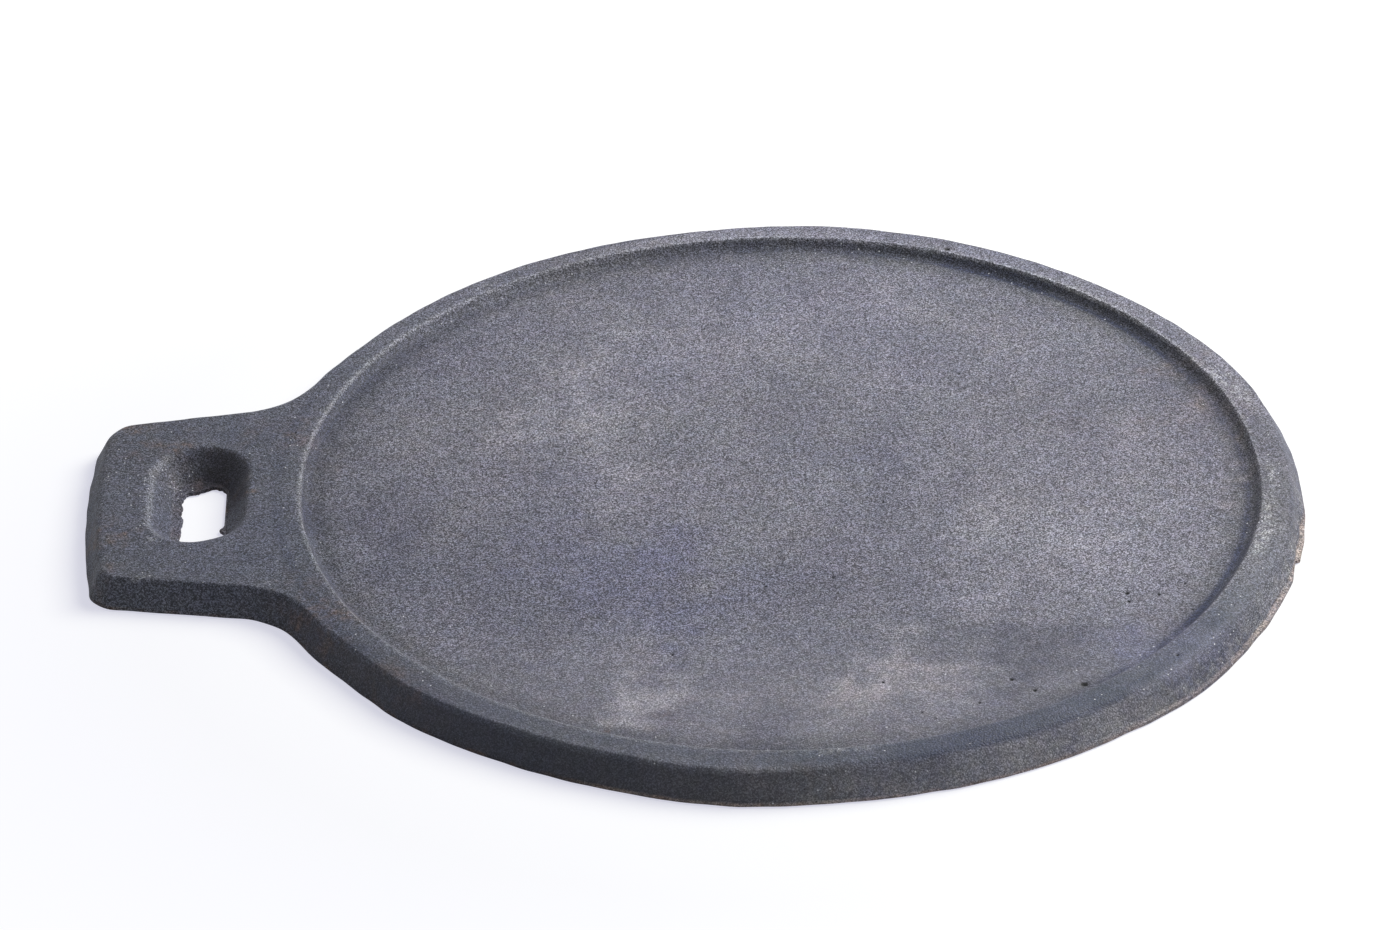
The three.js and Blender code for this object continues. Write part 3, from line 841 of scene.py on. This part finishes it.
def cast_skin_tree():
    """Gives a smooth pattern the skin of a sand casting: slow swells, clumped sand and gas pits."""
    tree = bpy.data.node_groups.new("cast_skin", "GeometryNodeTree")
    add_socket = lambda name, kind, way="INPUT": tree.interface.new_socket(
        name, in_out=way, socket_type="NodeSocket" + kind
    )
    add_socket("Geometry", "Geometry")
    for name, value in CAST_SKIN.items():
        add_socket(name, "Float").default_value = value
    add_socket("Iron", "Material")
    add_socket("Geometry", "Geometry", "OUTPUT")
    given = tree.nodes.new("NodeGroupInput").outputs
    position = tree.nodes.new("GeometryNodeInputPosition").outputs["Position"]
    normal = tree.nodes.new("GeometryNodeInputNormal").outputs["Normal"]

    def layer(height, size, detail, shift):
        noise = add_node(
            tree, "ShaderNodeTexNoise", {"noise_dimensions": "4D"},
            Vector=position, W=maths(tree, "ADD", given["Seed"], shift),
            Scale=maths(tree, "DIVIDE", 1.0, given[size]), Detail=detail,
        )
        return maths(tree, "MULTIPLY", maths(tree, "SUBTRACT", noise.outputs["Fac"], 0.5), given[height])

    def worked(kind, skin, **inputs):
        return add_node(tree, "GeometryNode" + kind, Geometry=skin, **inputs).outputs["Geometry"]

    swells = layer("Swell height", "Swell size", 1.0, 0.0)
    rise = maths(tree, "ADD", swells, layer("Sand height", "Sand size", 2.0, 7.0))
    offset = add_node(tree, "ShaderNodeVectorMath", {"operation": "SCALE"}, Vector=normal, Scale=rise)
    skin = worked("SetPosition", given["Geometry"], Offset=offset.outputs["Vector"])

    pit = add_node(tree, "GeometryNodeInputNamedAttribute", {"data_type": "FLOAT"}, Name="pit")
    depth = maths(tree, "MULTIPLY", pit.outputs["Attribute"], given["Pit depth"])
    drop = add_node(tree, "ShaderNodeCombineXYZ", Z=maths(tree, "MULTIPLY", depth, -MM))
    skin = worked("SetPosition", skin, Offset=drop.outputs["Vector"])

    place = add_node(tree, "ShaderNodeSeparateXYZ", Vector=position).outputs
    level = add_node(
        tree, "ShaderNodeCombineXYZ", X=place["X"], Y=place["Y"], Z=maths(tree, "MAXIMUM", place["Z"], 0.0)
    )
    skin = worked("SetPosition", skin, Position=level.outputs["Vector"])
    skin = worked("RealizeInstances", skin)
    skin = worked("SetMaterial", skin, Material=given["Iron"])
    add_node(tree, "NodeGroupOutput", Geometry=skin)
    return tree


def with_cast_skin(mesh, iron):
    """The mesh with the skin's tree applied, as a plain object."""
    rough = add_object("tawa_rough", mesh)
    modifier = rough.modifiers.new("cast_skin", "NODES")
    modifier.node_group = cast_skin_tree()
    sockets = modifier.node_group.interface.items_tree
    iron_socket = next(socket for socket in sockets if socket.name == "Iron")
    modifier[iron_socket.identifier] = iron
    graph = bpy.context.evaluated_depsgraph_get()
    plain = bpy.data.meshes.new_from_object(rough.evaluated_get(graph))
    bpy.data.objects.remove(rough)
    for polygon in plain.polygons:
        polygon.use_smooth = True
    plain.set_sharp_from_angle(angle=math.radians(48))
    return add_object("tawa_cast_body", plain)


# Seasoned iron, from its dark hollows to its dry, light crests, then the colours of its stains and wear, some
# of which paint shade, fill light, highlights and glints
DARK_IRON = (0.027, 0.032, 0.066, 1)
LIGHT_IRON = (0.336, 0.328, 0.370, 1)
WARM_IRON = (0.350, 0.310, 0.345, 1)
BLUE_IRON = (0.145, 0.148, 0.217, 1)
# Darker, bluer iron on the near side, and the dark of painted shade
DARKER_BLUER_IRON = (0.050, 0.061, 0.094, 1)
PAINTED_SHADE_DARK = (0.034, 0.033, 0.047, 1)
RUST_BROWN = (0.130, 0.085, 0.065, 1)
GROUND_EDGE = (0.420, 0.330, 0.310, 1)
# Rubbed iron, also for the lips' painted highlights; the bevel with its painted fill light; painted glints
RUBBED_IRON_AND_HIGHLIGHT = (0.468, 0.476, 0.522, 1)
BEVEL_WEAR_AND_FILL_LIGHT = (0.400, 0.380, 0.385, 1)
PAINTED_GLINT = (0.660, 0.665, 0.710, 1)
PIT_BLACK = (0.018, 0.018, 0.020, 1)

# Patterns in the iron: size in millimetres, detail, roughness and shift
PATTERNS = {
    "clouds": (60, 3.0, 0.6, 1.0), "mottle": (11, 3.0, 0.6, 2.0), "smudges": (4.5, 2.0, 0.6, 9.0),
    "clumps": (1.3, 1.0, 0.6, 3.0), "grains": (0.4, 0.0, 0.5, 8.0), "stains": (11, 2.0, 0.6, 5.0),
    "spots": (3, 1.0, 0.5, 10.0), "rust": (5, 3.0, 0.7, 6.0), "grinding": (2.2, 3.0, 0.7, 7.0),
    "wide_red": (20, 1.0, 0.5, 14.0), "fine_red": (2.4, 1.0, 0.6, 13.0),
    "wide_blue": (26, 2.0, 0.5, 12.0), "fine_blue": (2.6, 1.0, 0.6, 11.0),
}
GRIT_SIZE = 0.25
MIDDLING_TONE = 0.36
BLOTCH_STRENGTH = 0.15
TINT_STRENGTH = 0.45
# How strongly the near side darkens and blues
DARKER_BLUER_STRENGTH = 0.42
RUST_STRENGTH = 0.8
GROUND_STRENGTH = 0.62
# How strongly the bevel's wear and painted fill light, the scuffs, and the lip's wear and painted highlight
# take
BEVEL_STRENGTH = 0.26
SCUFF_STRENGTH = 0.42
LIP_STRENGTH = 0.30


class IronNodes:
    """The nodes of the iron's material, with the patterns that its finishes share."""

    def __init__(self, tree):
        self.tree = tree
        self.place = add_node(tree, "ShaderNodeTexCoord").outputs["Object"]
        self.pattern = {name: self.noise(*sizes) for name, sizes in PATTERNS.items()}

    def maths(self, operation, *values):
        return maths(self.tree, operation, *values)

    def times(self, first, second):
        return self.maths("MULTIPLY", first, second)

    def less(self, first, second):
        return self.maths("SUBTRACT", first, second)

    def total(self, first, *others):
        for other in others:
            first = self.maths("ADD", first, other)
        return first

    def noise(self, size, detail, roughness, shift):
        node = add_node(
            self.tree, "ShaderNodeTexNoise", {"noise_dimensions": "4D"},
            Vector=self.place, W=shift, Scale=1 / (size * MM), Detail=detail, Roughness=roughness,
        )
        return node.outputs["Fac"]

    def centred(self, **amounts):
        """Patterns about nought, each by its amount, added up."""
        return self.total(*(
            self.times(self.less(self.pattern[name], 0.5), amount) for name, amount in amounts.items()
        ))

    def mask(self, name):
        return add_node(self.tree, "ShaderNodeAttribute", {"attribute_name": name}).outputs["Fac"]

    def smooth(self, value, low, high):
        """The same smooth step, in nodes."""
        node = add_node(
            self.tree, "ShaderNodeMapRange", {"interpolation_type": "SMOOTHSTEP"},
            Value=value, From_Min=low, From_Max=high,
        )
        return node.outputs["Result"]

    def blend(self, share, under, over):
        return blend_colours(self.tree, share, under, over)

    def cells(self, spacing):
        """Cells in millimetres: how far it is to each one's middle, and a number drawn for it."""
        node = add_node(self.tree, "ShaderNodeTexVoronoi", Vector=self.place, Scale=1 / (spacing * MM))
        draw = add_node(self.tree, "ShaderNodeSeparateColor", Color=node.outputs["Color"])
        return node.outputs["Distance"], draw.outputs["Red"]

    def specks(self, spacing, share, radius):
        """Small round specks in a share of the cells, all in millimetres."""
        away, draw = self.cells(spacing)
        limit = radius / spacing
        return self.times(self.smooth(away, limit, limit * 0.5), self.maths("LESS_THAN", draw, share))


def seasoning_and_painted_shading(iron):
    """Seasoning that lies thick and dark or thin and light, in clouds and in soft-edged blotches, over the
    tone, which brings painted shade and painted light with it.
    """
    uneven = iron.centred(clouds=0.28, mottle=0.27, smudges=0.09)
    edge = iron.total(BLOTCH_STRENGTH, iron.centred(mottle=0.40, smudges=0.22))
    blotches = iron.times(iron.mask("blotch"), edge)
    return iron.blend(iron.total(MIDDLING_TONE, iron.mask("tone"), uneven, blotches), DARK_IRON, LIGHT_IRON)


def tinted(iron, colour):
    """Warm and blue tints with a spotty edge."""
    spotty = iron.less(iron.total(iron.pattern["stains"], iron.centred(spots=0.5)), 0.5)
    tint = iron.times(iron.mask("tint"), iron.total(TINT_STRENGTH, iron.times(spotty, 0.9)))
    colour = iron.blend(iron.smooth(tint, 0.0, 1.3), colour, WARM_IRON)
    return iron.blend(iron.smooth(iron.times(tint, -1.0), 0.0, 0.95), colour, BLUE_IRON)


def shaded_and_stained(iron, colour):
    """Darker, bluer iron on the near side, painted shade on the near-left side and in the slot, rust, and the
    bare iron of the fin and of the ground foot.
    """
    darker_bluer = iron.times(iron.mask("darker_bluer"), iron.total(DARKER_BLUER_STRENGTH, iron.centred(mottle=0.9)))
    colour = iron.blend(darker_bluer, colour, DARKER_BLUER_IRON)
    colour = iron.blend(iron.mask("painted_shade"), colour, PAINTED_SHADE_DARK)
    rusty = iron.times(iron.mask("rusty"), iron.smooth(iron.pattern["rust"], 0.42, 0.72))
    colour = iron.blend(iron.times(rusty, RUST_STRENGTH), colour, RUST_BROWN)
    bare = iron.times(iron.mask("bare"), iron.smooth(iron.pattern["grinding"], 0.3, 0.55))
    return iron.blend(iron.times(bare, GROUND_STRENGTH), colour, GROUND_EDGE)


def worn_and_painted_light(iron, colour, scuffs):
    """The bevel, worn and lit by painted fill light, the scuffs, the recess's lip, worn and given a painted
    highlight, and the slot's left lip with its painted highlight.
    """
    worn = iron.smooth(iron.total(iron.pattern["clumps"], iron.pattern["smudges"]), 0.84, 1.2)
    bevel = iron.times(iron.mask("bevel"), worn)
    colour = iron.blend(iron.times(bevel, BEVEL_STRENGTH), colour, BEVEL_WEAR_AND_FILL_LIGHT)
    colour = iron.blend(iron.times(scuffs, SCUFF_STRENGTH), colour, RUBBED_IRON_AND_HIGHLIGHT)
    lip = iron.times(iron.mask("lip"), iron.total(LIP_STRENGTH, iron.centred(clumps=0.25)))
    return iron.blend(lip, colour, RUBBED_IRON_AND_HIGHLIGHT)


def grained(iron, colour):
    """Each grain of sand lighter or darker than the next, redder here and bluer there."""
    _, draw = iron.cells(GRIT_SIZE)
    grit = iron.less(iron.times(iron.maths("POWER", draw, 2.0), 2.3), 0.77)
    grit = iron.times(grit, iron.less(1.0, iron.mask("worn")))
    grain = iron.total(1.0, grit, iron.centred(clumps=0.10))
    redder = iron.total(1.0, iron.centred(fine_red=0.13, wide_red=0.07))
    bluer = iron.total(1.0, iron.centred(fine_blue=0.20, wide_blue=0.18))
    hue = add_node(
        iron.tree, "ShaderNodeCombineXYZ", X=iron.times(grain, redder), Y=grain,
        Z=iron.times(grain, iron.less(bluer, iron.mask("greyed"))),
    )
    return arithmetic(iron.tree, "ShaderNodeVectorMath", "MULTIPLY", colour, hue.outputs["Vector"])


def speckled(iron, colour):
    """Painted glints on bare crests, fine black specks, and the black of the gas pits."""
    glints = iron.specks(0.9, iron.times(iron.mask("painted_glints"), 0.35), 0.24)
    colour = iron.blend(glints, colour, PAINTED_GLINT)
    colour = iron.blend(iron.specks(2.4, 0.14, 0.27), colour, PIT_BLACK)
    return iron.blend(iron.smooth(iron.mask("pit"), 0.08, 0.3), colour, PIT_BLACK)


def seasoned_iron():
    material, tree, shader = new_material("seasoned_iron")
    iron = IronNodes(tree)
    scuffs = iron.times(iron.mask("rubbed"), iron.smooth(iron.pattern["clumps"], 0.42, 0.6))
    colour = shaded_and_stained(iron, tinted(iron, seasoning_and_painted_shading(iron)))
    colour = speckled(iron, grained(iron, worn_and_painted_light(iron, colour, scuffs)))
    tree.links.new(colour, shader.inputs["Base Color"])

    drier_floor = iron.times(iron.mask("cooking"), 0.14)
    rough = iron.total(0.56, iron.centred(mottle=0.2, clumps=0.15), drier_floor)
    tree.links.new(iron.less(rough, iron.times(scuffs, 0.15)), shader.inputs["Roughness"])
    shader.inputs["Metallic"].default_value = 0.0
    shader.inputs["Specular IOR Level"].default_value = 0.25

    height = iron.total(iron.times(iron.pattern["clumps"], 0.05), iron.times(iron.pattern["grains"], 0.16))
    bump = add_node(tree, "ShaderNodeBump", Height=height, Distance=MM, Strength=0.9)
    tree.links.new(bump.outputs["Normal"], shader.inputs["Normal"])
    return material


# Paper: what it gives the light back, and what the eye sees of it lit and in shadow
PAPER_TO_THE_LIGHT = (0.84, 0.86, 0.90, 1)
PAPER_TO_THE_EYE = (0.50, 0.50, 0.41, 1)
PAPER_GLOW = (0.57, 0.572, 0.67, 1)
# Where it whitens on the way out, in metres, by how much, and how brightly it shows in a mirror
PAPER_WHITENS_FROM = 0.16
PAPER_WHITE_BY = 0.42
PAPER_WHITENING = 0.5
MIRRORED_GLOW = 0.2
# How far the paper lies below the foot, so that they never share a face
PAPER_GAP = 0.0002
PAPER_REACH = 4.0


def ray_kinds(tree):
    """One for the camera's own rays, and one for those that show the backdrop by reflection or glass."""
    rays = add_node(tree, "ShaderNodeLightPath").outputs
    by_mirror_or_glass = maths(tree, "MAXIMUM", rays["Is Glossy Ray"], rays["Is Transmission Ray"])
    return rays["Is Camera Ray"], by_mirror_or_glass


def paper_floor():
    """Bright paper that keeps the tawa's shadow and runs out to white round it."""
    material, tree, paper = new_material("white_paper")
    seen, mirrored = ray_kinds(tree)
    base = blend_colours(tree, seen, PAPER_TO_THE_LIGHT, PAPER_TO_THE_EYE)
    tree.links.new(base, paper.inputs["Base Color"])
    paper.inputs["Roughness"].default_value = 0.9
    paper.inputs["Specular IOR Level"].default_value = 0.0
    place = add_node(tree, "ShaderNodeTexCoord").outputs["Object"]
    away = add_node(tree, "ShaderNodeVectorMath", {"operation": "LENGTH"}, Vector=place).outputs["Value"]
    beyond = add_node(
        tree, "ShaderNodeMapRange", Value=away, From_Min=PAPER_WHITENS_FROM, From_Max=PAPER_WHITE_BY
    ).outputs["Result"]
    whitening = maths(tree, "ADD", 1.0, maths(tree, "MULTIPLY", beyond, PAPER_WHITENING))
    by_mirror = maths(tree, "MULTIPLY", mirrored, MIRRORED_GLOW)
    strength = maths(tree, "MAXIMUM", maths(tree, "MULTIPLY", seen, whitening), by_mirror)
    glow = add_node(tree, "ShaderNodeEmission", Strength=strength, Color=PAPER_GLOW)
    both = tree.nodes.new("ShaderNodeAddShader")
    tree.links.new(paper.outputs["BSDF"], both.inputs[0])
    tree.links.new(glow.outputs["Emission"], both.inputs[1])
    tree.links.new(both.outputs["Shader"], tree.nodes["Material Output"].inputs["Surface"])
    return material


def floor():
    mesh = bpy.data.meshes.new("paper")
    square = [(x * PAPER_REACH, y * PAPER_REACH, 0) for x, y in ((-1, -1), (1, -1), (1, 1), (-1, 1))]
    mesh.from_pydata(square, [], [(0, 1, 2, 3)])
    mesh.materials.append(paper_floor())
    paper = add_object("paper", mesh)
    paper.location.z = -PAPER_GAP


# The one lamp: a square soft box high at the far right, and the room's own light
SOFT_BOX_AT = Vector((0.469, 0.271, 0.561))
SOFT_BOX_SIDE = 0.46
SOFT_BOX_POWER = 8.1
ROOM_COLOUR = (0.96, 0.98, 1.0, 1)
ROOM_STRENGTH = 0.17


def studio_light():
    """The soft box, and a room that is dim to the iron and white to the eye."""
    lamp = bpy.data.lights.new("window_right", "AREA")
    lamp.size = SOFT_BOX_SIDE
    lamp.energy = SOFT_BOX_POWER
    box = add_object("window_right", lamp)
    box.location = SOFT_BOX_AT
    box.rotation_euler = (-SOFT_BOX_AT).to_track_quat("-Z", "Y").to_euler()

    world = bpy.data.worlds.new("studio")
    bpy.context.scene.world = world
    world.use_nodes = True
    tree = world.node_tree
    room = tree.nodes["Background"]
    room.inputs["Color"].default_value = ROOM_COLOUR
    room.inputs["Strength"].default_value = ROOM_STRENGTH
    white = add_node(tree, "ShaderNodeBackground", Strength=1.0, Color=(1, 1, 1, 1))
    shown = maths(tree, "MAXIMUM", *ray_kinds(tree))
    mix = add_node(tree, "ShaderNodeMixShader", Fac=shown)
    tree.links.new(room.outputs["Background"], mix.inputs[1])
    tree.links.new(white.outputs["Background"], mix.inputs[2])
    tree.links.new(mix.outputs["Shader"], tree.nodes["World Output"].inputs["Surface"])


def camera():
    data = bpy.data.cameras.new("camera")
    data.lens = CAMERA_LENS
    data.sensor_width = 36
    data.clip_start = 0.01
    eye = add_object("camera", data)
    right = CAMERA_RIGHT.normalized()
    up = (CAMERA_UP - right * CAMERA_UP.dot(right)).normalized()
    turn = Matrix((right, up, right.cross(up))).transposed()
    eye.matrix_world = Matrix.Translation(CAMERA_AT) @ turn.to_4x4()
    bpy.context.scene.camera = eye


camera()
studio_light()
floor()
bpy.context.scene.view_settings.view_transform = "Standard"

tawa = with_cast_skin(casting_mesh(), seasoned_iron())
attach(tawa, "root")
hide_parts(CASTING)
